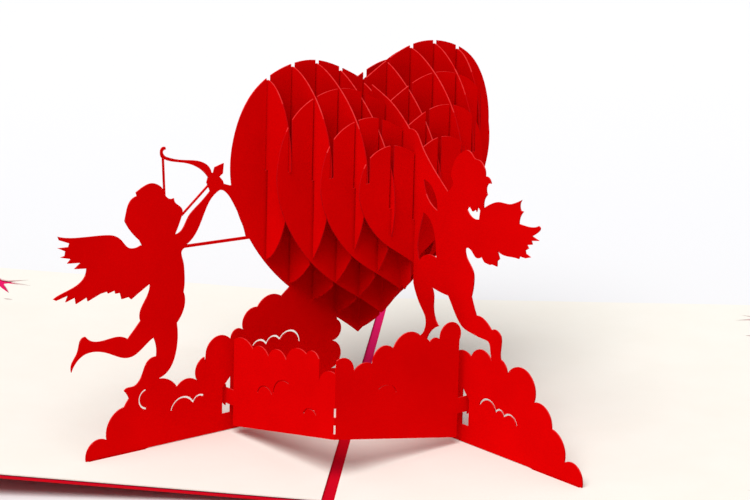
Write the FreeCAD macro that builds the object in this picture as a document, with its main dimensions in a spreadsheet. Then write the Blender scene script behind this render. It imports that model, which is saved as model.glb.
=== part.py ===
"""Pop-up card: a heart of interlocking slices between two cupids on a corner of paper clouds.

The card lies open. Its right page is flat on the table and its left page stands a little off it.
X runs across the pages, Y along the spine towards the far edge and Z up. The origin is the middle
of the card's footprint. Two upright sheets cross over the spine at an open corner: the left sheet
holds the left cupid and the heart's middle slice, the right sheet holds the right cupid and the
middle cross slice. Each has its own frame: x runs out from the corner along its foot, y upwards.
"""
import FreeCAD, Part
import math
import os

from FreeCAD import Placement, Rotation, Vector

SIZES = (
    ("card_length", 150.0, "length of the spine"),
    ("page_width", 105.0, "width of one page of the cover"),
    ("page_lift", 3.6, "degrees by which the left page stands off the table"),
    ("cover_thickness", 0.4, "thickness of the cover's card"),
    ("liner_thickness", 0.3, "thickness of the liner's card"),
    ("paper_thickness", 0.3, "thickness of the pop-up's card"),
    ("liner_margin", 0.6, "how far the cover shows round the liner"),
    ("spine_gap_far", 2.1, "space between the liners at the far edge"),
    ("spine_gap_near", 3.0, "space between the liners at the near edge"),
    ("bird_length", 13.0, "length of a far bird cut out of the liner"),
    ("bird_near_length", 9.1, "length of a near bird cut out of the liner"),
    ("bird_outset_far", 15.0, "from a page's outer edge to a far bird's tail"),
    ("bird_outset_near", 10.9, "from a page's outer edge to a near bird's tail"),
    ("bird_inset", 13.4, "from the far or near edge to a bird's tail"),
    ("arm_angle", 45.0, "degrees between a sheet's foot and the X axis"),
    ("corner_offset", -5.9, "place of the corner along the spine"),
    ("arm_length", 80.4, "length of a sheet's foot"),
    ("cloud_height", 31.0, "height of the tall cloud's crest"),
    ("foot_lift", 0.15, "height of a foot's inner stretch over the liner"),
    ("seat_gap", 0.05, "height of a foot's glued stretch over the liner"),
    ("tab_start", 63.5, "from the corner to a glue tab"),
    ("tab_length", 16.0, "length of a glue tab"),
    ("tab_depth", 6.0, "width of the tab's fold under the liner"),
    ("tab_clearance", 0.25, "space round a tab in the liner's slit"),
    ("heart_width", 79.2, "width of the heart"),
    ("heart_height", 68.7, "height of the heart from its tip to its lobes"),
    ("heart_tip", 17.3, "height of the heart's tip over the liner"),
    ("heart_focus", 55.0, "height about which the outer slices shrink"),
    ("heart_reach", 23.2, "depth at which the heart slices would shrink to nothing"),
    ("heart_fullness", 1.1, "how slowly the heart slices shrink beside the middle one"),
    ("cross_reach", 21.5, "depth of the middle cross slice on each side"),
    ("cross_recess", 0.8, "from the heart's edge to the tips of a cross slice"),
    ("cross_spacing", 7.23, "distance between cross slices"),
    ("slice_inner", 8.36, "from the middle slice to the inner slice"),
    ("slice_middle", 14.8, "from the middle slice to the next slice"),
    ("slice_outer", 19.34, "from the middle slice to the outer slice"),
    ("slot_clearance", 0.9, "space in a slot beside the paper"),
    ("cupid_height", 51.3, "height of the left cupid"),
    ("right_cupid_height", 47.9, "height of the right cupid"),
    ("string_width", 0.5, "width of the bow's string"),
    ("arrow_width", 0.7, "width of the arrow"),
    ("line_width", 0.45, "width of a line cut out of a cloud"),
    ("strip_line_width", 0.3, "width of a line cut out of the front strip"),
    ("window_share", 0.492, "place of the front strip's hooks along a foot, as a share of it"),
    ("window_width", 2.4, "width of a window"),
    ("window_sill", 4.3, "height of a window's sill"),
    ("window_height", 9.0, "height of a window"),
    ("strip_stand_off", 2.4, "from a wing to the front strip's end"),
    ("strip_rise_end", 1.7, "height of the strip's lower edge at its ends"),
    ("strip_rise_fold", 8.1, "height of the strip's lower edge at its fold"),
    ("neck_sill_left", 6.6, "height of the neck on the left panel"),
    ("neck_sill_right", 7.5, "height of the neck on the right panel"),
    ("neck_height", 3.8, "width of a hook's neck"),
    ("hook_height", 5.2, "height of a hook behind the wing"),
    ("hook_length", 3.4, "length of a hook behind the wing"),
)

doc = FreeCAD.newDocument("pop_up_card")
sheet = doc.addObject("Spreadsheet::Sheet", "sizes")
for row, (alias, value, note) in enumerate(SIZES, start=1):
    sheet.set(f"A{row}", note)
    sheet.set(f"B{row}", str(value))
    sheet.setAlias(f"B{row}", alias)
doc.recompute()


def size(alias):
    """A driving dimension from the sheet."""
    return float(sheet.get(alias))


PAPER = size("paper_thickness")
LIFT = math.radians(size("page_lift"))
ARM = math.radians(size("arm_angle"))
FOOT_LEVEL = size("cover_thickness") + PAPER + size("liner_thickness")
SPINE_X = -size("page_width") * (1 - math.cos(LIFT)) / 2
WINDOW_DISTANCE = size("window_share") * size("arm_length")

RIGHT_NORMAL = Vector(0, 0, 1)
LEFT_NORMAL = Vector(math.sin(LIFT), 0, math.cos(LIFT))
LEFT_OUT = Vector(-math.cos(LIFT), 0, math.sin(LIFT))
LEFT_ARM = LEFT_OUT * math.cos(ARM) + Vector(0, -1, 0) * math.sin(ARM)
RIGHT_ARM = Vector(math.cos(ARM), -math.sin(ARM), 0)
UPRIGHT = LEFT_ARM.cross(RIGHT_ARM).normalize()
CORNER = Vector(SPINE_X + FOOT_LEVEL * math.tan(LIFT / 2), size("corner_offset"), FOOT_LEVEL)


def frame(origin, along, upward):
    """The placement whose x runs along a sheet and whose y runs up it."""
    return Placement(origin, Rotation(along, upward, along.cross(upward), "XYZ"))


LEFT_PLANE = frame(CORNER, LEFT_ARM, UPRIGHT)
RIGHT_PLANE = frame(CORNER, RIGHT_ARM, UPRIGHT)
LEFT_PAGE = Placement(Vector(SPINE_X, 0, 0), Rotation(Vector(0, 1, 0), size("page_lift")))
RIGHT_PAGE = Placement(Vector(SPINE_X, 0, 0), Rotation())


# Outlines


def smooth(*points):
    """One curve through the points, or a straight line through two."""
    vectors = [Vector(x, y, 0) for x, y in points]
    if len(vectors) == 2:
        return [Part.LineSegment(*vectors).toShape()]
    curve = Part.BSplineCurve()
    curve.interpolate(vectors)
    return [curve.toShape()]


def corners(*points):
    """Straight lines from point to point."""
    edges = []
    for start, end in zip(points, points[1:]):
        edges += smooth(start, end)
    return edges


def lobes(*points):
    """Round cloud lobes: notch, crest, notch, crest and so on, each crest on its own arc."""
    vectors = [Vector(x, y, 0) for x, y in points]
    edges = []
    for k in range(0, len(vectors) - 2, 2):
        edges.append(Part.Arc(*vectors[k:k + 3]).toShape())
    return edges


def bar(start, end, width):
    """A straight strip of paper between two points."""
    length = math.hypot(end[0] - start[0], end[1] - start[1])
    across = ((start[1] - end[1]) * width / 2 / length, (end[0] - start[0]) * width / 2 / length)
    ring = [(start[0] + across[0], start[1] + across[1]), (end[0] + across[0], end[1] + across[1]),
            (end[0] - across[0], end[1] - across[1]), (start[0] - across[0], start[1] - across[1])]
    return corners(*ring, ring[0])


def stroke(width, start, crest, end):
    """The outline of a cut of one width along the arc through three points."""
    vectors = [Vector(x, y, 0) for x, y in (start, crest, end)]
    circle = Part.Arc(*vectors).toShape().Curve
    centre, radius = circle.Center, circle.Radius
    outer, inner = ([centre + (point - centre) * (rim / radius) for point in vectors]
                    for rim in (radius + width / 2, radius - width / 2))
    return [Part.Arc(*outer).toShape(), Part.Arc(*inner).toShape(),
            Part.LineSegment(outer[0], inner[0]).toShape(), Part.LineSegment(outer[2], inner[2]).toShape()]


def scaled(edges, ratio_x, ratio_y, anchor=(0.0, 0.0)):
    """The same outline drawn larger or smaller about a point."""
    matrix = FreeCAD.Matrix()
    matrix.move(Vector(-anchor[0], -anchor[1], 0))
    matrix.scale(ratio_x, ratio_y, 1)
    matrix.move(Vector(anchor[0], anchor[1], 0))
    return [edge.transformGeometry(matrix) for edge in edges]


# Objects of the document


def outline_solid(name, edges, thickness="paper_thickness", centred=True):
    """Paper cut to an outline: a wire drawn in the sheet's frame, given its thickness."""
    wire = doc.addObject("Part::Feature", name + "_outline")
    wire.Shape = Part.Wire(Part.__sortEdges__(edges))
    solid = doc.addObject("Part::Extrusion", name)
    solid.Base = wire
    solid.DirMode = "Custom"
    solid.Dir = Vector(0, 0, 1)
    solid.Solid = True
    solid.Symmetric = centred
    solid.setExpression("LengthFwd", f"sizes.{thickness}")
    return solid


def cutter(name, edges):
    """A hole through a sheet: the same as an outline, but deeper than the paper."""
    wire = doc.addObject("Part::Feature", name + "_outline")
    wire.Shape = Part.Wire(Part.__sortEdges__(edges))
    solid = doc.addObject("Part::Extrusion", name)
    solid.Base = wire
    solid.DirMode = "Custom"
    solid.Dir = Vector(0, 0, 1)
    solid.Solid = True
    solid.Symmetric = True
    solid.setExpression("LengthFwd", "sizes.paper_thickness * 4")
    return solid


def slot_box(name, centre_x, low_y, high_y, widened=0.0):
    """A slot across a slice, wide enough for the slice that crosses it, or wider on its outer side."""
    slot = doc.addObject("Part::Box", name)
    slot.setExpression("Length", f"sizes.paper_thickness + sizes.slot_clearance + {widened}")
    slot.setExpression("Height", "sizes.paper_thickness * 4")
    slot.Width = high_y - low_y
    half = (PAPER + size("slot_clearance")) / 2
    start = centre_x - half if centre_x > 0 else centre_x - half - widened
    slot.Placement = Placement(Vector(start, low_y, -2 * PAPER), Rotation())
    return slot


def fused(name, parts):
    """Several pieces of one sheet joined into one."""
    whole = doc.addObject("Part::MultiFuse", name)
    whole.Shapes = parts
    whole.Refine = True
    return whole


def cut_line(name, width, fit, *points):
    """A scalloped line cut through a cloud, one stroke to each lobe; fit sizes the drawing."""
    cuts = [cutter(f"{name}_{k}", fit(stroke(size(width), *points[k:k + 3])))
            for k in range(0, len(points) - 2, 2)]
    return cuts[0] if len(cuts) == 1 else fused(name, cuts)


def cut(name, base, tools):
    """A piece with holes in it."""
    holes = doc.addObject("Part::Compound", name + "_holes")
    holes.Links = tools
    result = doc.addObject("Part::Cut", name + "_cut")
    result.Base = base
    result.Tool = holes
    return result


pieces = {}


def finish(label, thing, place=None):
    """Names a finished piece and puts it in its place on the card."""
    if place is not None:
        thing.Placement = place
    thing.Label = label
    pieces[label] = thing


# Heart

HEART_HALF = ((0, 0.901), (0.19, 0.961), (0.39, 1.0), (0.62, 0.991), (0.85, 0.918), (0.975, 0.785),
              (1.0, 0.65), (0.952, 0.53), (0.85, 0.413), (0.56, 0.223), (0.185, 0.076), (0, 0))
HALF_WIDTH = size("heart_width") / 2
FOCUS = size("heart_focus")
heart_curve = Part.BSplineCurve()
heart_curve.interpolate([Vector(x * HALF_WIDTH, size("heart_tip") + y * size("heart_height"), 0)
                         for x, y in HEART_HALF])
FIRST, LAST = heart_curve.FirstParameter, heart_curve.LastParameter
WIDEST = max((FIRST + (LAST - FIRST) * k / 400 for k in range(401)),
             key=lambda u: heart_curve.value(u).x)


def heart_point(distance, upper):
    """Height of the heart's upper or lower edge at a distance from its middle."""
    inner, outer = (FIRST, WIDEST) if upper else (LAST, WIDEST)
    for _ in range(50):
        middle = (inner + outer) / 2
        if heart_curve.value(middle).x < distance:
            inner = middle
        else:
            outer = middle
    return heart_curve.value((inner + outer) / 2).y


def slice_ratio(depth):
    """Size of the slice at a depth, beside the middle one."""
    return math.sqrt(1 - (abs(depth) / size("heart_reach")) ** size("heart_fullness"))


def heart_edges(ratio):
    """The heart's outline, shrunk about its focus."""
    half = heart_curve.toShape()
    mirror = half.mirror(Vector(0, 0, 0), Vector(1, 0, 0))
    return scaled([half, mirror], ratio, ratio, (0.0, FOCUS))


# The cross slices from the middle outwards: depth as a share of the middle one's, height of the
# widest point as a share of the slice's height, and a power that is small for blunt tips.
CROSS_SHAPES = ((1.0, 0.53, 0.85), (0.972, 0.51, 0.85), (0.902, 0.57, 0.72), (0.698, 0.556, 0.68),
                (0.419, 0.548, 0.58))
CROSS_STEPS = (0.97, 0.9, 0.8, 0.65, 0.45, 0.22)


def cross_shape(distance):
    """Depth, foot, widest height, top and power of the cross slice at a distance from the middle."""
    share, widest, power = CROSS_SHAPES[round(abs(distance) / size("cross_spacing"))]
    top = heart_point(abs(distance), True) - size("cross_recess")
    foot = heart_point(abs(distance), False) + size("cross_recess")
    return share * size("cross_reach"), foot, foot + widest * (top - foot), top, power


def cross_edges(distance):
    """A cross slice's leaf-shaped outline at a distance from the heart's middle."""
    reach, foot, widest, top, power = cross_shape(distance)
    upper = [(reach * (1 - step ** 2) ** power, widest + step * (top - widest)) for step in CROSS_STEPS]
    lower = [(reach * (1 - step ** 2) ** power, widest + step * (foot - widest)) for step in CROSS_STEPS]
    side = [(0.0, top), *upper, (reach, widest), *reversed(lower), (0.0, foot)]
    other = [(-x, y) for x, y in side]
    return smooth(*side) + smooth(*other)


DEPTHS = {"inner": size("slice_inner"), "middle": size("slice_middle"), "outer": size("slice_outer")}
CROSS_PLACES = {f"{side}_{k}": sign * k * size("cross_spacing")
                for side, sign in (("left", 1), ("right", -1)) for k in (1, 2, 3, 4)}
SLOT_HALF = (PAPER + size("slot_clearance")) / 2
SLOT_RUN_OUT = 4.0


def heart_heights(depth, distance):
    """Lower and upper edge of the heart slice at a depth, at a distance from its middle."""
    ratio = slice_ratio(depth)
    return [FOCUS + ratio * (heart_point(abs(distance) / ratio, upper) - FOCUS) for upper in (False, True)]


def cross_heights(distance, depth):
    """Lower and upper edge of the cross slice at a distance, at a depth from its middle."""
    reach, foot, widest, top, power = cross_shape(distance)
    step = math.sqrt(max(1 - (abs(depth) / reach) ** (1 / power), 0.0))
    return widest + step * (foot - widest), widest + step * (top - widest)


def meeting(distance, depth):
    """Middle of the line where two slices cross, or nothing where they pass each other by."""
    if abs(distance) >= slice_ratio(depth) * HALF_WIDTH or abs(depth) - PAPER >= cross_shape(distance)[0]:
        return None
    low = max(heart_heights(depth, distance)[0], cross_heights(distance, depth)[0])
    high = min(heart_heights(depth, distance)[1], cross_heights(distance, depth)[1])
    return (low + high) / 2


def slots_from_above(name, depth):
    """The slots of a heart slice, open at its top."""
    slots = []
    for label, distance in [("centre", 0.0), *CROSS_PLACES.items()]:
        middle = meeting(distance, depth)
        if middle:
            top = heart_heights(depth, distance)[1] + SLOT_RUN_OUT
            slots.append(slot_box(f"{name}_slot_{label}", distance, middle, top))
    return slots


def slots_from_below(name, distance):
    """The slots of a cross slice, open at its foot, and at its side where too little paper is left."""
    slots = []
    places = [("centre", 0.0)]
    places += [(f"{side}_{label}", sign * depth) for side, sign in (("front", 1), ("back", -1))
               for label, depth in DEPTHS.items()]
    for label, depth in places:
        middle = meeting(distance, depth)
        if middle:
            foot = cross_heights(distance, max(abs(depth) - SLOT_HALF, 0.0))[0] - SLOT_RUN_OUT
            left_over = cross_shape(distance)[0] - abs(depth) - SLOT_HALF
            widened = SLOT_RUN_OUT if left_over < 2 * PAPER else 0.0
            slots.append(slot_box(f"{name}_slot_{label}", depth, foot, middle, widened))
    return slots


# Cover and liners


def page_box(name, page, thickness, low):
    """One page of the cover: a box in its page's frame, outwards along x."""
    box = doc.addObject("Part::Box", name)
    box.setExpression("Length", "sizes.page_width")
    box.setExpression("Width", "sizes.card_length")
    box.setExpression("Height", f"sizes.{thickness}")
    start = -size("page_width") if page is LEFT_PAGE else 0.0
    box.Placement = page * Placement(Vector(start, -size("card_length") / 2, low), Rotation())
    return box


def cover():
    """The red cover, one sheet folded along the spine."""
    left = page_box("cover_left_page", LEFT_PAGE, "cover_thickness", 0.0)
    right = page_box("cover_right_page", RIGHT_PAGE, "cover_thickness", 0.0)
    finish("cover", fused("cover_sheet", [left, right]))


BIRD_DRAWN = 13.0
BIRD = (corners((7.2, -0.3), (6.2, 0.4), (0.0, 0.0), (5.6, 1.9), (1.2, 4.6), (6.4, 2.9), (8.4, 3.4))
        + smooth((8.4, 3.4), (10.2, 6.4), (11.8, 10.6))
        + smooth((11.8, 10.6), (11.7, 7.2), (10.8, 4.6))
        + smooth((10.8, 4.6), (11.6, 4.9), (12.4, 4.4), (13.0, 4.3))
        + smooth((13.0, 4.3), (12.0, 2.8), (10.8, 1.4), (9.4, 0.4))
        + smooth((9.4, 0.4), (7.6, -3.0), (4.6, -7.4))
        + smooth((4.6, -7.4), (5.8, -3.8), (7.2, -0.3)))
FEATHER = smooth((2.8, -12.2), (4.0, -11.7), (5.3, -11.9)) + smooth((5.3, -11.9), (4.1, -12.5), (2.8, -12.2))


def bird_holes(name, side, end, length, outset):
    """A swallow and a feather cut through a liner: side is -1 or 1 for the page, end for the edge."""
    ratio = size(length) / BIRD_DRAWN
    place = Vector(side * (size("page_width") - size(outset)),
                   end * (size("card_length") / 2 - size("bird_inset")), 0)
    holes = []
    for part, edges in (("bird", BIRD), ("feather", FEATHER)):
        hole = cutter(f"{name}_{part}", scaled(edges, side * ratio, end * ratio))
        hole.Placement = Placement(place, Rotation())
        holes.append(hole)
    return holes


def liner(label, side, page, arm, normal):
    """A cream liner glued on a page, slit for the sheet's tab, with two birds cut out."""
    far = size("card_length") / 2 - size("liner_margin")
    outer = side * (size("page_width") - size("liner_margin"))
    ring = ((side * size("spine_gap_far") / 2, far), (outer, far), (outer, -far),
            (side * size("spine_gap_near") / 2, -far))
    plain = outline_solid(label + "_plain", corners(*ring, ring[0]), "liner_thickness", False)
    holes = bird_holes(label + "_far", side, 1, "bird_length", "bird_outset_far")
    holes += bird_holes(label + "_near", side, -1, "bird_near_length", "bird_outset_near")
    slit = tab_box(label + "_slit", arm, normal, size("tab_clearance"))
    slit.Placement = (page * Placement(Vector(0, 0, FOOT_LEVEL - size("liner_thickness")),
                                       Rotation())).inverse() * slit.Placement
    lined = cut(label, plain, holes + [slit])
    finish(label, lined, page * Placement(Vector(0, 0, FOOT_LEVEL - size("liner_thickness")), Rotation()))


# Sheets with the cupids


def tab_box(name, arm, normal, clearance=0.0):
    """The upright part of a glue tab, square to its page, or the slit that it passes through."""
    box = doc.addObject("Part::Box", name)
    box.Length = size("tab_length") + 2 * clearance
    box.Width = size("liner_thickness") + PAPER + size("foot_lift") + clearance
    box.Height = PAPER + 2 * clearance
    box.Placement = frame(CORNER, arm, normal) * Placement(
        Vector(size("tab_start") - clearance, -size("liner_thickness") - PAPER, -PAPER / 2 - clearance),
        Rotation())
    return box


def tab_fold(name, arm, normal):
    """The part of a glue tab that lies flat between the cover and the liner."""
    box = doc.addObject("Part::Box", name)
    box.setExpression("Length", "sizes.tab_length")
    box.setExpression("Width", "sizes.paper_thickness")
    box.setExpression("Height", "sizes.tab_depth")
    box.Placement = frame(CORNER, arm, normal) * Placement(
        Vector(size("tab_start"), -size("liner_thickness") - PAPER, -PAPER / 2), Rotation())
    return box


def tab(name, plane, arm, normal):
    """A glue tab in the frame of the sheet that it belongs to."""
    parts = [tab_box(name + "_upright", arm, normal), tab_fold(name + "_fold", arm, normal)]
    for part in parts:
        part.Placement = plane.inverse() * part.Placement
    return parts


DRAWN_ARM, DRAWN_CLOUD = 80.4, 31.0
DRAWN_CUPID, DRAWN_RIGHT_CUPID = 51.3, 47.9
LEFT_CUPID_FOOT = (65.0, 12.0)
RIGHT_CUPID_FOOT = (50.0, 22.0)


def cloud_scaled(edges):
    """A cloud's outline at the size of its arm and its height."""
    return scaled(edges, size("arm_length") / DRAWN_ARM, size("cloud_height") / DRAWN_CLOUD)


def foot_edges(inner, outer):
    """A sheet's lower edge from its inner end to its outer end, with the step at the glued stretch."""
    step = size("tab_start") - 1.0
    low, high = size("seat_gap"), size("foot_lift")
    return corners((inner, 1.2 * high), (inner, high), (step, high), (step, low), (outer, low),
                   (outer, 1.2 * high))


def left_cloud():
    """The left wing's cloud and the tall cloud beneath the heart."""
    base = 1.2 * size("foot_lift") * DRAWN_CLOUD / size("cloud_height")
    upper = lobes((80.4, base), (78.9, 4.0), (74.5, 4.2), (73.6, 8.8), (69.6, 11.2), (64.5, 15.6),
                  (59.3, 16.2), (56.9, 15.6), (54.4, 13.3), (51.1, 14.8), (48.4, 13.7), (48.8, 17.0),
                  (46.5, 19.2))
    upper += corners((46.5, 19.2), (46.2, 17.6), (46.0, 19.4))
    upper += lobes((46.0, 19.4), (42.9, 23.5), (38.7, 22.1), (36.9, 24.4), (35.0, 23.7), (34.0, 27.9),
                   (30.9, 28.7), (27.4, 31.0), (23.8, 30.2))
    upper += corners((23.8, 30.2), (20.0, 33.0), (15.5, 31.0), (7.6, 27.0), (6.6, 21.5))
    upper += lobes((6.6, 21.5), (5.3, 19.0), (8.1, 16.5), (5.3, 13.6), (8.6, 9.6), (3.4, 7.6),
                   (0.9, base))
    return cloud_scaled(upper)


def right_cloud():
    """The right wing's cloud and the low cloud behind the front strip."""
    base = 1.2 * size("foot_lift") * DRAWN_CLOUD / size("cloud_height")
    upper = lobes((0.9, base), (2.2, 5.6), (6.5, 7.2), (11.0, 12.8), (16.0, 13.6), (20.5, 20.2),
                  (25.6, 20.6), (30.6, 22.6), (35.0, 20.2), (38.4, 22.2), (41.2, 21.3), (44.6, 23.9),
                  (48.3, 22.0), (51.3, 23.2), (53.9, 20.3), (59.5, 22.9), (63.3, 15.9), (67.4, 15.4),
                  (69.6, 11.2), (72.8, 9.6), (74.2, 4.4), (77.9, 4.8), (80.4, base))
    return cloud_scaled(upper)


def left_cupid_outlines():
    """The archer: body, wing, bow, hand, strings and arrow, each as drawn on the sheet."""
    body = smooth((59.0, 61.0), (58.3, 59.6), (57.1, 58.8), (56.0, 58.8))
    body += smooth((56.0, 58.8), (55.5, 57.6), (54.1, 56.5), (53.5, 54.8))
    body += smooth((53.5, 54.8), (54.6, 52.1), (55.6, 50.1))
    body += smooth((55.6, 50.1), (53.6, 50.9), (51.8, 53.7), (49.1, 56.0), (46.1, 58.4))
    body += corners((46.1, 58.4), (44.3, 60.2), (42.9, 58.7))
    body += smooth((42.9, 58.7), (45.8, 56.4), (47.6, 53.0), (49.0, 50.3), (52.1, 47.3))
    body += corners((52.1, 47.3), (52.8, 46.5))
    body += smooth((52.8, 46.5), (53.6, 45.8), (53.2, 43.7), (52.7, 40.7), (52.9, 36.0))
    body += smooth((52.9, 36.0), (52.4, 34.0), (53.0, 31.3), (54.7, 28.9))
    body += smooth((54.7, 28.9), (54.4, 25.5), (54.8, 22.1), (56.1, 18.8), (59.6, 16.4))
    body += corners((59.6, 16.4), (59.0, 12.3), (64.9, 9.5), (67.7, 11.4))
    body += smooth((67.7, 11.4), (68.4, 13.4), (69.7, 15.1))
    body += smooth((69.7, 15.1), (69.0, 15.6), (67.0, 15.7), (65.2, 16.9), (63.6, 20.2), (60.5, 21.8))
    body += smooth((60.5, 21.8), (60.5, 24.0), (61.4, 26.5))
    body += smooth((61.4, 26.5), (64.1, 24.8), (67.4, 23.0), (69.7, 23.0), (73.2, 24.4), (78.3, 26.0),
                   (81.3, 25.7), (83.3, 24.4), (84.7, 22.2))
    body += smooth((84.7, 22.2), (84.5, 24.4), (83.0, 26.7), (81.9, 29.7), (80.8, 30.0))
    body += smooth((80.8, 30.0), (78.3, 28.4), (75.3, 28.2), (71.6, 28.4), (68.8, 27.4))
    body += smooth((68.8, 27.4), (67.2, 29.0), (65.2, 31.1))
    body += smooth((65.2, 31.1), (65.1, 33.8), (63.2, 36.9), (62.6, 39.6))
    body += smooth((62.6, 39.6), (63.3, 44.5), (65.7, 50.3))
    body += smooth((65.7, 50.3), (67.0, 51.5), (68.5, 53.2), (70.0, 55.5))
    body += smooth((70.0, 55.5), (69.6, 57.3), (68.7, 59.7), (66.6, 60.9))
    body += corners((66.6, 60.9), (66.9, 61.8))
    body += smooth((66.9, 61.8), (65.1, 62.7), (62.6, 63.3), (60.8, 62.8), (59.0, 61.0))
    wing = smooth((65.4, 49.1), (66.9, 48.7), (69.0, 49.2), (70.7, 51.0), (72.8, 52.5), (75.0, 53.0),
                  (83.5, 53.7), (88.7, 54.8))
    wing += corners((88.7, 54.8), (88.3, 53.9), (85.4, 52.7), (85.7, 51.9), (88.7, 52.1), (86.5, 51.0),
                    (86.7, 50.0), (87.9, 49.8), (85.0, 49.0), (86.0, 48.1), (82.2, 47.7), (84.0, 46.5),
                    (80.6, 46.1))
    wing += smooth((80.6, 46.1), (81.2, 44.1), (85.4, 41.8), (89.9, 40.3))
    wing += corners((89.9, 40.3), (89.1, 39.9), (85.7, 40.6), (86.4, 39.1), (83.8, 39.8), (83.5, 38.2),
                    (80.5, 39.3), (80.2, 38.3), (76.7, 39.5), (74.8, 39.7), (74.5, 39.2), (72.6, 39.6),
                    (72.4, 38.8), (71.1, 38.8), (70.6, 37.2), (68.7, 37.4), (67.9, 36.7), (66.0, 37.8),
                    (62.6, 39.6), (59.1, 39.2), (61.3, 48.0), (65.4, 49.1))
    bow = smooth((58.7, 71.3), (59.8, 71.1), (60.1, 70.1), (59.3, 68.6))
    bow += smooth((59.3, 68.6), (57.5, 67.8), (53.4, 66.8), (50.4, 65.7), (48.0, 64.2), (46.3, 62.4))
    bow += corners((46.3, 62.4), (45.0, 61.6), (44.5, 62.6), (45.2, 63.1))
    bow += smooth((45.2, 63.1), (46.2, 65.0), (48.0, 66.2), (51.4, 67.1), (55.5, 67.9), (57.8, 68.7),
                  (59.0, 69.4), (59.4, 70.2), (58.5, 70.7))
    bow += corners((58.5, 70.7), (58.7, 71.3))
    hand = corners((45.4, 63.4), (44.7, 63.1), (44.3, 64.4), (41.7, 65.0), (41.9, 62.6), (42.9, 62.0),
                   (41.9, 60.9), (41.6, 60.1), (39.7, 59.4), (36.5, 59.1), (32.0, 47.0), (34.7, 46.3))
    hand += smooth((34.7, 46.3), (36.6, 51.4), (38.6, 55.0), (40.5, 57.6), (42.3, 58.7), (43.5, 58.6))
    hand += corners((43.5, 58.6), (45.3, 58.3), (45.9, 59.7), (46.6, 61.1), (46.1, 62.6), (45.4, 63.4))
    strings = [bar((59.3, 68.8), (58.7, 59.6), size("string_width")),
               bar((46.0, 60.4), (53.7, 54.4), size("string_width"))]
    arrow = bar((54.0, 46.9), (33.2, 46.0), size("arrow_width"))
    ratio = size("cupid_height") / DRAWN_CUPID
    drawn = (body, wing, bow, hand, *strings, arrow)
    return [scaled(edges, ratio, ratio, LEFT_CUPID_FOOT) for edges in drawn]


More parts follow.
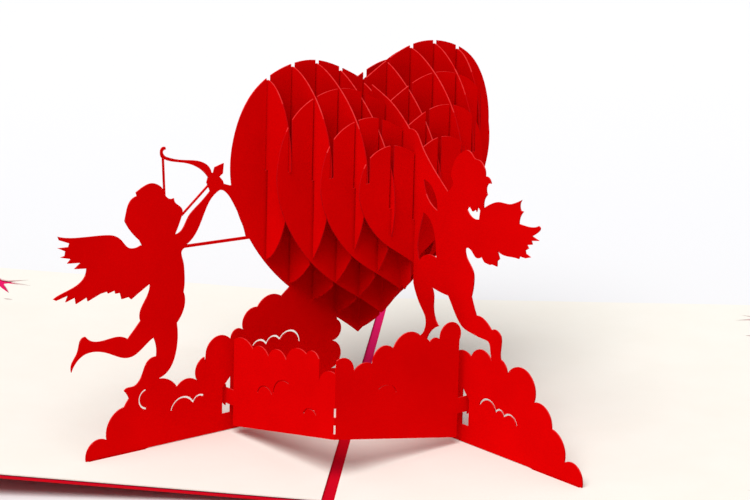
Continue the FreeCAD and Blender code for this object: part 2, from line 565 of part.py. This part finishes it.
def right_cupid_outlines():
    """The second cupid, whose arms hold the heart, and the holes between its limbs."""
    body = smooth((36.5, 69.6), (37.8, 70.0), (39.1, 69.5), (40.2, 68.6), (41.8, 68.5), (43.4, 67.5),
                  (44.1, 65.2))
    body += smooth((44.1, 65.2), (45.3, 65.1), (46.2, 63.9))
    body += smooth((46.2, 63.9), (44.9, 63.3), (44.6, 62.1), (45.0, 61.0))
    body += smooth((45.0, 61.0), (44.2, 60.0), (43.9, 57.6))
    body += smooth((43.9, 57.6), (46.2, 59.1), (48.6, 60.1), (52.7, 60.5), (54.3, 61.1), (56.8, 62.4))
    body += smooth((56.8, 62.4), (56.2, 60.9), (56.6, 59.8))
    body += corners((56.6, 59.8), (57.5, 59.8))
    body += smooth((57.5, 59.8), (56.4, 58.3), (56.1, 56.6))
    body += smooth((56.1, 56.6), (58.9, 56.6), (60.6, 56.8), (62.7, 57.6))
    body += smooth((62.7, 57.6), (63.3, 57.2), (62.7, 56.2), (60.7, 54.7))
    body += corners((60.7, 54.7), (63.0, 54.2), (60.4, 53.6), (60.8, 52.8), (59.0, 52.3), (59.6, 51.6),
                    (58.5, 50.9), (58.7, 50.2), (60.4, 49.7), (58.7, 49.1), (56.7, 49.1), (56.4, 48.4))
    body += smooth((56.4, 48.4), (53.3, 48.2), (51.1, 48.1), (49.0, 48.7))
    body += corners((49.0, 48.7), (49.9, 46.9), (49.1, 46.2), (49.1, 44.9), (47.4, 45.0), (46.6, 44.7),
                    (44.7, 44.9), (43.7, 45.9), (43.0, 45.5))
    body += smooth((43.0, 45.5), (41.3, 45.6), (39.8, 46.8), (38.8, 47.0), (38.0, 46.6))
    body += smooth((38.0, 46.6), (38.8, 44.3), (41.0, 41.7), (41.3, 39.5), (40.6, 35.7))
    body += smooth((40.6, 35.7), (41.4, 33.8), (42.5, 31.6))
    body += smooth((42.5, 31.6), (44.7, 31.5), (46.5, 30.6), (47.9, 29.4))
    body += smooth((47.9, 29.4), (49.9, 29.7), (51.1, 28.9), (51.3, 25.5), (51.6, 22.9))
    body += corners((51.6, 22.9), (52.4, 20.6), (48.1, 20.1), (48.4, 22.1))
    body += smooth((48.4, 22.1), (47.8, 24.6), (47.2, 26.2), (45.0, 26.6), (41.0, 27.0), (37.9, 27.7),
                   (35.6, 29.7), (33.7, 32.3), (32.5, 34.0))
    body += smooth((32.5, 34.0), (29.4, 34.2), (26.5, 34.7))
    body += smooth((26.5, 34.7), (27.3, 33.1), (27.4, 29.6), (28.0, 27.6), (29.4, 25.8))
    body += smooth((29.4, 25.8), (27.2, 24.5), (25.3, 21.8))
    body += corners((25.3, 21.8), (25.3, 19.0), (22.6, 19.0), (23.2, 22.2))
    body += smooth((23.2, 22.2), (24.4, 23.8), (24.7, 26.5), (22.7, 29.3), (20.9, 32.0), (19.8, 34.8))
    body += corners((19.8, 34.8), (17.6, 33.0), (16.8, 31.8), (16.0, 32.6), (15.4, 32.0), (14.2, 31.6),
                    (7.0, 40.0), (3.0, 70.0), (3.0, 78.6))
    body += smooth((3.0, 78.6), (5.5, 77.7), (10.0, 75.9), (13.8, 73.5), (17.0, 70.8))
    body += smooth((17.0, 70.8), (19.4, 70.5), (21.5, 67.8), (23.7, 65.2), (26.7, 62.4), (31.1, 58.8))
    body += smooth((31.1, 58.8), (32.4, 59.9), (33.0, 61.4), (32.2, 62.6))
    body += smooth((32.2, 62.6), (32.9, 65.6), (34.6, 68.2), (36.5, 69.6))
    under_hair = smooth((38.2, 56.0), (39.4, 56.6), (40.2, 56.0), (41.0, 56.6), (41.5, 56.2))
    under_hair += corners((41.5, 56.2), (41.9, 57.6), (42.7, 56.8), (42.4, 54.6))
    under_hair += smooth((42.4, 54.6), (40.4, 54.4), (38.2, 56.0))
    between_arms = smooth((22.6, 59.9), (25.0, 59.2), (26.9, 57.1), (27.8, 53.4))
    between_arms += smooth((27.8, 53.4), (24.6, 55.2), (22.6, 59.9))
    before_belly = smooth((22.9, 52.0), (25.4, 50.6), (26.9, 48.1), (27.6, 45.1), (27.9, 42.0))
    before_belly += smooth((27.9, 42.0), (25.6, 42.3), (23.4, 41.6), (21.9, 39.9))
    before_belly += smooth((21.9, 39.9), (21.1, 42.9), (21.5, 46.9), (22.9, 52.0))
    ratio = size("right_cupid_height") / DRAWN_RIGHT_CUPID
    drawn = (body, under_hair, between_arms, before_belly)
    return [scaled(edges, ratio, ratio, RIGHT_CUPID_FOOT) for edges in drawn]


def window(name):
    """A tall window in a wing, with a slanting head, for the front strip's hook."""
    near, far = WINDOW_DISTANCE - 0.95, WINDOW_DISTANCE - 0.95 + size("window_width")
    sill, head = size("window_sill"), size("window_sill") + size("window_height")
    ring = ((near, sill), (far, sill), (far, head - 2.6), (near, head))
    return cutter(name, corners(*ring, ring[0]))


def left_sheet():
    """The left sheet: clouds, archer and the heart's middle slice, cut from one piece of card."""
    label = "left_cupid_sheet"
    cloud = outline_solid(label + "_cloud", left_cloud() + foot_edges(*foot_ends()))
    parts = [cloud, outline_solid(label + "_heart", heart_edges(1.0))]
    for k, edges in enumerate(left_cupid_outlines()):
        parts.append(outline_solid(f"{label}_cupid_{k}", edges))
    parts += tab(label + "_tab", LEFT_PLANE, LEFT_ARM, LEFT_NORMAL)
    lines = (((56.0, 7.8), (52.4, 10.5), (49.6, 8.7), (48.2, 10.1), (46.6, 9.8)),
             ((32.1, 19.4), (29.9, 20.4), (28.1, 19.1), (25.8, 20.7), (24.1, 19.6), (21.2, 21.2),
              (18.1, 18.0)),
             ((63.4, 14.3), (65.3, 12.0), (63.2, 9.7)))
    holes = [cut_line(f"{label}_line_{k}", "line_width", cloud_scaled, *line)
             for k, line in enumerate(lines)]
    holes.append(window(label + "_window"))
    holes += slots_from_above(label, 0.0)
    finish(label, cut(label, fused(label + "_whole", parts), holes), LEFT_PLANE)


def right_sheet():
    """The right sheet: clouds, second cupid and the heart's middle cross slice, in one piece."""
    label = "right_cupid_sheet"
    body, *gaps = right_cupid_outlines()
    parts = [outline_solid(label + "_cloud", right_cloud() + foot_edges(*foot_ends())),
             outline_solid(label + "_leaf", cross_edges(0.0)),
             outline_solid(label + "_cupid", body)]
    parts += tab(label + "_tab", RIGHT_PLANE, RIGHT_ARM, RIGHT_NORMAL)
    line = ((44.8, 10.6), (47.5, 12.5), (50.4, 10.2), (51.9, 11.1), (53.2, 9.8), (55.2, 10.8), (57.7, 8.8))
    holes = [cut_line(label + "_line", "line_width", cloud_scaled, *line)]
    holes += [cutter(f"{label}_gap_{k}", edges) for k, edges in enumerate(gaps)]
    holes.append(window(label + "_window"))
    holes += slots_from_below(label, 0.0)
    finish(label, cut(label, fused(label + "_whole", parts), holes), RIGHT_PLANE)


def foot_ends():
    """Inner and outer end of a sheet's foot, which meet the ends of the drawn clouds."""
    ratio = size("arm_length") / DRAWN_ARM
    return 0.9 * ratio, 80.4 * ratio


# Front strip


def strip_edges(side, upper):
    """A panel of the front strip: its ends and the hook that passes the wing, but not its cloud edge."""
    fold, start = WINDOW_DISTANCE, size("strip_stand_off")
    sill = size(f"neck_sill_{side}")
    top = sill + size("neck_height")
    middle = (sill + top) / 2
    behind = -2.5 * PAPER
    edges = corners((fold, upper[-1]), (fold, size("strip_rise_fold")), (start, size("strip_rise_end")),
                    (start, sill), (behind, sill), (behind, middle - size("hook_height") / 2))
    edges += smooth((behind, middle - size("hook_height") / 2), (behind - size("hook_length"), middle),
                    (behind, middle + size("hook_height") / 2))
    edges += corners((behind, middle + size("hook_height") / 2), (behind, top), (start, top),
                     (start, upper[0]))
    return edges


def strip_scaled(edges):
    """A panel's cloud edge at the length of the panel and the height of the clouds."""
    ratio_x = (WINDOW_DISTANCE - size("strip_stand_off")) / (39.55 - 2.4)
    return scaled(edges, ratio_x, size("cloud_height") / DRAWN_CLOUD, (2.4, 0.0))


def front_strip():
    """The scalloped strip in front, folded over the spine and hooked through both wings."""
    label = "front_cloud_strip"
    grow = size("cloud_height") / DRAWN_CLOUD
    ends = {"left": (22.8 * grow, 23.6 * grow), "right": (25.4 * grow, 23.6 * grow)}
    shift = size("strip_stand_off") - 2.4
    left = lobes((2.4, 22.8), (6.0, 23.8), (9.3, 22.1), (11.9, 23.5), (15.1, 21.6), (18.6, 24.3),
                 (21.6, 22.5), (25.5, 26.4), (28.9, 25.8), (31.4, 27.1), (33.6, 24.4))
    left += corners((33.6, 24.4), (33.7, 20.8))
    left += lobes((33.7, 20.8), (36.6, 23.7), (39.55, 23.6))
    right = lobes((2.4, 25.4), (5.6, 30.1), (8.3, 26.4), (9.8, 27.2), (11.4, 26.4), (12.6, 27.7),
                  (14.4, 28.6), (18.5, 29.9), (22.4, 26.8), (25.6, 27.9), (28.6, 24.2), (31.2, 24.9),
                  (34.1, 23.4), (36.9, 27.1), (39.2, 26.8))
    right += corners((39.2, 26.8), (39.55, 23.6))
    panels = []
    places = {"left": frame(CORNER + LEFT_ARM * WINDOW_DISTANCE, RIGHT_ARM, UPRIGHT),
              "right": frame(CORNER + RIGHT_ARM * WINDOW_DISTANCE, LEFT_ARM, UPRIGHT)}
    lines = {"left": (((11.4, 12.2), (13.7, 14.3), (16.7, 13.0)),
                      ((17.2, 13.6), (19.6, 17.1), (22.8, 17.2)),
                      ((28.3, 11.4), (31.0, 13.2), (33.0, 12.2))),
             "right": (((26.7, 17.8), (24.3, 18.5), (21.3, 16.2)),)}
    for side, upper in (("left", left), ("right", right)):
        edges = strip_edges(side, ends[side])
        edges += [edge.translated(Vector(shift, 0, 0)) for edge in strip_scaled(upper)]
        plain = outline_solid(f"{label}_{side}", edges, centred=False)
        tools = [cut_line(f"{label}_{side}_line_{k}", "strip_line_width", strip_scaled, *line)
                 for k, line in enumerate(lines[side])]
        panel = cut(f"{label}_{side}", plain, tools)
        inwards = places[side].Rotation.multVec(Vector(0, 0, 1)).dot(LEFT_ARM + RIGHT_ARM)
        shift_in = 0.0 if inwards < 0 else -PAPER
        panel.Placement = places[side] * Placement(Vector(0, 0, shift_in), Rotation())
        panels.append(panel)
    dashes = []
    for k in range(2):
        dash = doc.addObject("Part::Box", f"{label}_dash_{k}")
        dash.Length = dash.Height = 4 * PAPER
        dash.Width = 2.2
        apex = CORNER + (LEFT_ARM + RIGHT_ARM) * WINDOW_DISTANCE
        dash.Placement = frame(apex, RIGHT_ARM, UPRIGHT) * Placement(
            Vector(-2 * PAPER, size("strip_rise_fold") + 1.2 + 4.0 * k, -2 * PAPER), Rotation())
        dashes.append(dash)
    finish(label, cut(label, fused(label + "_whole", panels), dashes))


# Loose slices of the heart


def heart_slices():
    """Six heart-shaped slices beside the left sheet's, three in front and three behind."""
    for side, sign in (("front", 1), ("back", -1)):
        for place, depth in DEPTHS.items():
            label = f"heart_slice_{side}_{place}"
            plain = outline_solid(label + "_plain", heart_edges(slice_ratio(depth)))
            piece = cut(label, plain, slots_from_above(label, depth))
            finish(label, piece, frame(CORNER + RIGHT_ARM * sign * depth, LEFT_ARM, UPRIGHT))


def cross_slices():
    """Eight leaf-shaped cross slices, four on each side of the right sheet's."""
    for place, distance in CROSS_PLACES.items():
        label = f"cross_slice_{place}"
        plain = outline_solid(label + "_plain", cross_edges(abs(distance)))
        piece = cut(label, plain, slots_from_below(label, distance))
        finish(label, piece, frame(CORNER + LEFT_ARM * distance, RIGHT_ARM, UPRIGHT))


cover()
liner("left_liner", -1, LEFT_PAGE, LEFT_ARM, LEFT_NORMAL)
liner("right_liner", 1, RIGHT_PAGE, RIGHT_ARM, RIGHT_NORMAL)
left_sheet()
right_sheet()
front_strip()
heart_slices()
cross_slices()

doc.recompute()
for thing in doc.Objects:
    if "Invalid" in thing.State or "Error" in thing.State:
        raise RuntimeError(f"{thing.Name} did not compute: {thing.State}")
for label, thing in pieces.items():
    if thing.Shape.isNull() or not thing.Shape.isValid() or len(thing.Shape.Solids) != 1:
        raise RuntimeError(f"{label} is not one sound solid")

os.makedirs("parts", exist_ok=True)
for label, thing in pieces.items():
    thing.Shape.exportStep(f"parts/{label}.step")
    print(label, len(thing.Shape.Faces), "faces", round(thing.Shape.Volume, 1), "mm3")
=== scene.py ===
"""A pop-up card on a white table: red pop-up card, cream liners and a red cover, in soft studio light."""

import math

import bpy
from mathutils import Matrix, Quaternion, Vector

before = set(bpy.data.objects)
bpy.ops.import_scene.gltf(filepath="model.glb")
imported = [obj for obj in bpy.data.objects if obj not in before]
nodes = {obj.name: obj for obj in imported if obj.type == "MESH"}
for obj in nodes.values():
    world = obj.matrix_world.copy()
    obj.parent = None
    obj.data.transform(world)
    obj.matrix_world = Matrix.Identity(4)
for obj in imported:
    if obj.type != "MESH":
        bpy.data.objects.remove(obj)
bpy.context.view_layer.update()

MM = 0.001

# How the card stands: the left page is lifted a little, and the sheets run out from the spine.
PAGE_LIFT = math.radians(3.6)
ARM_ANGLE = math.radians(45.0)
LEFT_ARM = Vector((-math.cos(ARM_ANGLE) * math.cos(PAGE_LIFT), -math.sin(ARM_ANGLE),
                   math.cos(ARM_ANGLE) * math.sin(PAGE_LIFT)))
RIGHT_ARM = Vector((math.cos(ARM_ANGLE), -math.sin(ARM_ANGLE), 0.0))
UPRIGHT = LEFT_ARM.cross(RIGHT_ARM).normalized()
LEFT_SHEET_NORMAL = LEFT_ARM.cross(UPRIGHT).normalized()
RIGHT_SHEET_NORMAL = RIGHT_ARM.cross(UPRIGHT).normalized()
LEFT_PAGE_NORMAL = Vector((math.sin(PAGE_LIFT), 0.0, math.cos(PAGE_LIFT)))
RIGHT_PAGE_NORMAL = Vector((0.0, 0.0, 1.0))

# Colours, in linear light
POPUP_RED = (0.65, 0.0005, 0.0008)
POPUP_RED_DEEP = (0.58, 0.0004, 0.0006)
# Painted highlight on the pop-up's cut edges that look up; the other cut edges are a darker red
CUT_EDGE_PAINTED_HIGHLIGHT = (0.68, 0.045, 0.045)
CUT_SIDE = (0.40, 0.004, 0.006)
COVER_RED = (0.56, 0.002, 0.004)
# Painted pink sheen on the cover's far half
COVER_PAINTED_SHEEN = (0.72, 0.012, 0.12)
COVER_RED_DEEP = (0.50, 0.002, 0.004)
COVER_EDGE = (0.50, 0.006, 0.012)
PEARL_PINK = (1.0, 0.02, 0.30)
CREAM = (0.80, 0.775, 0.715)
CREAM_DEEP = (0.785, 0.755, 0.69)
CREAM_EDGE = (0.74, 0.69, 0.62)
TABLE_NEAR = (0.74, 0.74, 0.745)
TABLE_FAR = (0.775, 0.775, 0.80)
BACKGROUND = (0.972, 0.972, 1.0)

# Texture of the card and the table, in features per metre
PULP = 55.0
FIBRES = 900.0
GRAIN = 3200.0
MOTTLE = 9.0
RELIEF_DEPTH = 0.05 * MM

# A surface is a face of the card where its normal lies this close to a sheet's, and it looks up
# where its normal rises by more than this.
FACE_MATCH = 0.9
UPWARD_RISE = 0.5

# Stretch along the spine over which a pink sheen is painted into the cover's colour
PAINTED_SHEEN_FROM = -10.0 * MM
PAINTED_SHEEN_TO = 35.0 * MM

TABLE_WIDTH = 8.0
TABLE_PALEST_AT = 0.35

SKY_STRENGTH = 0.44
KEY_TOWARD = (-0.2, -0.8, 1.35)
KEY_STRENGTH = 1.0
KEY_SOFTNESS = 45.0


# Materials


class Shader:
    """A node-based material while it is being wired up."""

    def __init__(self, material):
        self.material = material
        self.material.use_nodes = True
        self.tree = self.material.node_tree
        self.surface = self.tree.nodes["Principled BSDF"]

    def add(self, kind, **settings):
        """A new node with these settings."""
        node = self.tree.nodes.new(kind)
        for key, value in settings.items():
            setattr(node, key, value)
        return node

    def link(self, output, socket):
        """Wires an output to an input."""
        self.tree.links.new(output, socket)

    def noise(self, coords, scale, detail, stretch=(1.0, 1.0, 1.0)):
        """Cloudy noise on the piece, in features per metre, drawn out along an axis if asked."""
        mapping = self.add("ShaderNodeMapping")
        mapping.inputs["Scale"].default_value = stretch
        self.link(coords, mapping.inputs["Vector"])
        noise = self.add("ShaderNodeTexNoise")
        noise.inputs["Scale"].default_value = scale
        noise.inputs["Detail"].default_value = detail
        noise.inputs["Roughness"].default_value = 0.6
        self.link(mapping.outputs["Vector"], noise.inputs["Vector"])
        return noise.outputs["Fac"]

    def ramp(self, value, *stops):
        """Colours from stop to stop; a stop is a place from 0 to 1 and its colour."""
        ramp = self.add("ShaderNodeValToRGB")
        elements = ramp.color_ramp.elements
        while len(elements) < len(stops):
            elements.new(0.5)
        for element, (place, colour) in zip(elements, stops):
            element.position = place
            element.color = (*colour, 1.0)
        self.link(value, ramp.inputs["Fac"])
        return ramp.outputs["Color"]

    def mix(self, share, first, second):
        """The first colour where the share is 0 and the second where it is 1."""
        mix = self.add("ShaderNodeMix", data_type="RGBA")
        for value, socket in ((share, mix.inputs[0]), (first, mix.inputs[6]), (second, mix.inputs[7])):
            if hasattr(value, "is_output"):
                self.link(value, socket)
            else:
                socket.default_value = (*value, 1.0)
        return mix.outputs[2]

    def math(self, operation, first, second=None):
        """A sum, product or comparison of outputs or plain numbers."""
        node = self.add("ShaderNodeMath", operation=operation)
        for value, socket in zip((first, second), node.inputs):
            if hasattr(value, "is_output"):
                self.link(value, socket)
            elif value is not None:
                socket.default_value = value
        return node.outputs["Value"]

    def on_face(self, normals):
        """1 on the printed faces of the card and 0 on its cut edges."""
        geometry = self.add("ShaderNodeNewGeometry")
        facing = None
        for normal in normals:
            dot = self.add("ShaderNodeVectorMath", operation="DOT_PRODUCT")
            dot.inputs[1].default_value = normal
            self.link(geometry.outputs["True Normal"], dot.inputs[0])
            size = self.math("ABSOLUTE", dot.outputs["Value"])
            facing = size if facing is None else self.math("MAXIMUM", facing, size)
        return self.math("GREATER_THAN", facing, FACE_MATCH)

    def upward(self):
        """1 where a piece looks up and 0 elsewhere; it places the painted highlight on cut edges that look
        up.
        """
        split = self.add("ShaderNodeSeparateXYZ")
        self.link(self.add("ShaderNodeNewGeometry").outputs["True Normal"], split.inputs["Vector"])
        return self.math("GREATER_THAN", split.outputs["Z"], UPWARD_RISE)


def card(name, normals, colour, deep, edges, roughness, sheen, specular, fibre):
    """Dyed card: mottled pulp, fine fibres pressed into its faces, and cut edges of another shade.

    The edges are two colours: a painted highlight for cut edges that look up, and a plain edge colour for
    all the others.
    """
    shader = Shader(bpy.data.materials.new(name))
    coords = shader.add("ShaderNodeTexCoord").outputs["Object"]
    pulp = shader.noise(coords, PULP, 3.0)
    fibres = shader.noise(coords, FIBRES, 5.0, (1.0, 1.0, 0.35))
    grain = shader.noise(coords, GRAIN, 2.0)
    body = shader.ramp(pulp, (0.3, deep), (0.7, colour))
    flecks = shader.math("MULTIPLY", shader.math("GREATER_THAN", grain, 0.68), 0.35)
    flecked = shader.mix(flecks, body, deep)
    face = shader.on_face(normals)
    highlighted_edge, other_edge = edges
    # Cut edges that look up take the painted highlight colour
    edge_with_painted_highlight = shader.mix(shader.upward(), other_edge, highlighted_edge)
    fibred_edge_and_highlight = shader.mix(shader.ramp(fibres, (0.35, (0.0,) * 3), (0.8, (1.0,) * 3)), edge_with_painted_highlight, colour)
    shader.link(shader.mix(face, fibred_edge_and_highlight, flecked), shader.surface.inputs["Base Color"])
    rough = shader.math("ADD", shader.math("MULTIPLY", fibres, 0.18), roughness - 0.09)
    shader.link(rough, shader.surface.inputs["Roughness"])
    relief = shader.math("ADD", fibres, shader.math("MULTIPLY", grain, 0.5))
    bump = shader.add("ShaderNodeBump")
    bump.inputs["Strength"].default_value = fibre
    bump.inputs["Distance"].default_value = RELIEF_DEPTH
    shader.link(relief, bump.inputs["Height"])
    shader.link(bump.outputs["Normal"], shader.surface.inputs["Normal"])
    shader.surface.inputs["Specular IOR Level"].default_value = specular
    shader.surface.inputs["Sheen Weight"].default_value = sheen
    shader.surface.inputs["Sheen Roughness"].default_value = 0.35
    shader.surface.inputs["Sheen Tint"].default_value = (*PEARL_PINK, 1.0)
    return shader.material


def paint_sheen_far(material, painted_sheen_colour):
    """Paints a pink sheen into a finish's colour, turning it towards another colour on the far half."""
    shader = Shader(material)
    socket = shader.surface.inputs["Base Color"]
    plain = socket.links[0].from_socket
    split = shader.add("ShaderNodeSeparateXYZ")
    shader.link(shader.add("ShaderNodeTexCoord").outputs["Object"], split.inputs["Vector"])
    near_to_far = shader.add("ShaderNodeMapRange")
    near_to_far.inputs["From Min"].default_value = PAINTED_SHEEN_FROM
    near_to_far.inputs["From Max"].default_value = PAINTED_SHEEN_TO
    shader.link(split.outputs["Y"], near_to_far.inputs["Value"])
    shader.link(shader.mix(near_to_far.outputs["Result"], plain, painted_sheen_colour), socket)


def popup_card(name, *normals):
    """The pop-up's red card, on sheets that face along these normals."""
    return card(name, normals, POPUP_RED, POPUP_RED_DEEP, (CUT_EDGE_PAINTED_HIGHLIGHT, CUT_SIDE), roughness=0.62,
                sheen=0.02, specular=0.0, fibre=0.25)


left_card = popup_card("red card, left sheet and slices", LEFT_SHEET_NORMAL)
right_card = popup_card("red card, right sheet and slices", RIGHT_SHEET_NORMAL)
strip_card = popup_card("red card, front strip", LEFT_SHEET_NORMAL, RIGHT_SHEET_NORMAL)
cover_card = card("red cover card", (LEFT_PAGE_NORMAL, RIGHT_PAGE_NORMAL), COVER_RED, COVER_RED_DEEP,
                  (COVER_EDGE, COVER_EDGE), roughness=0.5, sheen=0.8, specular=0.0, fibre=0.3)
# Paints the cover's pink sheen on its far half
paint_sheen_far(cover_card, COVER_PAINTED_SHEEN)
liner_card = card("cream liner card", (LEFT_PAGE_NORMAL, RIGHT_PAGE_NORMAL), CREAM, CREAM_DEEP,
                  (CREAM_EDGE, CREAM_EDGE), roughness=0.8, sheen=0.0, specular=0.05, fibre=0.3)


def dress(node, material):
    """Puts a finish on a piece of the card."""
    for slot in nodes[node].material_slots:
        slot.material = material


dress("cover", cover_card)
dress("left_liner", liner_card)
dress("right_liner", liner_card)
dress("left_cupid_sheet", left_card)
dress("right_cupid_sheet", right_card)
dress("front_cloud_strip", strip_card)
for side in ("front", "back"):
    for place in ("inner", "middle", "outer"):
        dress(f"heart_slice_{side}_{place}", left_card)
for side in ("left", "right"):
    for place in range(1, 5):
        dress(f"cross_slice_{side}_{place}", right_card)


# Table


def table():
    """A wide white table top, matt, a little paler towards the back."""
    bpy.ops.object.select_all(action="DESELECT")
    bpy.ops.mesh.primitive_plane_add(size=TABLE_WIDTH, location=(0.0, 0.0, 0.0))
    top = bpy.context.object
    top.name = "table_top"
    shader = Shader(bpy.data.materials.new("white table"))
    coords = shader.add("ShaderNodeTexCoord").outputs["Object"]
    mottle = shader.noise(coords, MOTTLE, 2.0)
    split = shader.add("ShaderNodeSeparateXYZ")
    shader.link(coords, split.inputs["Vector"])
    spread = shader.math("ADD", split.outputs["Y"], shader.math("MULTIPLY", mottle, 0.1))
    paler = shader.ramp(spread, (0.0, TABLE_NEAR), (TABLE_PALEST_AT, TABLE_FAR))
    shader.link(paler, shader.surface.inputs["Base Color"])
    shader.surface.inputs["Roughness"].default_value = 0.9
    shader.surface.inputs["Specular IOR Level"].default_value = 0.1
    top.data.materials.append(shader.material)


table()


# Light


def sky(strength):
    """A plain bright room, seen as a white background."""
    world = bpy.data.worlds.new("studio")
    bpy.context.scene.world = world
    world.use_nodes = True
    tree = world.node_tree
    room = tree.nodes["Background"]
    room.inputs["Color"].default_value = (1.0, 1.0, 1.0, 1.0)
    room.inputs["Strength"].default_value = strength
    seen = tree.nodes.new("ShaderNodeBackground")
    seen.inputs["Color"].default_value = (*BACKGROUND, 1.0)
    seen.inputs["Strength"].default_value = 1.0
    path = tree.nodes.new("ShaderNodeLightPath")
    either = tree.nodes.new("ShaderNodeMath")
    either.operation = "MAXIMUM"
    mix = tree.nodes.new("ShaderNodeMixShader")
    tree.links.new(path.outputs["Is Camera Ray"], either.inputs[0])
    tree.links.new(path.outputs["Is Glossy Ray"], either.inputs[1])
    tree.links.new(either.outputs["Value"], mix.inputs["Fac"])
    tree.links.new(room.outputs["Background"], mix.inputs[1])
    tree.links.new(seen.outputs["Background"], mix.inputs[2])
    tree.links.new(mix.outputs["Shader"], tree.nodes["World Output"].inputs["Surface"])


def sun(name, toward, strength, softness):
    """A distant soft light: toward points from the card to the light, softness is its width in degrees."""
    lamp = bpy.data.lights.new(name, "SUN")
    lamp.energy = strength * math.pi
    lamp.angle = math.radians(softness)
    holder = bpy.data.objects.new(name, lamp)
    bpy.context.collection.objects.link(holder)
    holder.rotation_euler = Vector(toward).to_track_quat("Z", "Y").to_euler()


sky(SKY_STRENGTH)
sun("key light", KEY_TOWARD, KEY_STRENGTH, KEY_SOFTNESS)


# Camera

VIEW_AZIMUTH = math.radians(5.288)
VIEW_ELEVATION = math.radians(17.224)
VIEW_ROLL = math.radians(-0.534)
VIEW_DISTANCE = 1053.23 * MM
VIEW_TARGET = Vector((3.33, 10.53, 33.82)) * MM
SENSOR = 36.0
LENS = 209.26


def camera():
    """The camera of the photograph: a long lens, a little above the card."""
    lens = bpy.data.cameras.new("camera")
    lens.sensor_fit = "HORIZONTAL"
    lens.sensor_width = SENSOR
    lens.lens = LENS
    holder = bpy.data.objects.new("camera", lens)
    bpy.context.collection.objects.link(holder)
    ahead = Vector((-math.sin(VIEW_AZIMUTH) * math.cos(VIEW_ELEVATION),
                    math.cos(VIEW_AZIMUTH) * math.cos(VIEW_ELEVATION), -math.sin(VIEW_ELEVATION)))
    holder.location = VIEW_TARGET - ahead * VIEW_DISTANCE
    holder.rotation_mode = "QUATERNION"
    holder.rotation_quaternion = ahead.to_track_quat("-Z", "Y") @ Quaternion((0.0, 0.0, 1.0), VIEW_ROLL)
    bpy.context.scene.camera = holder


camera()
bpy.context.scene.view_settings.view_transform = "Standard"
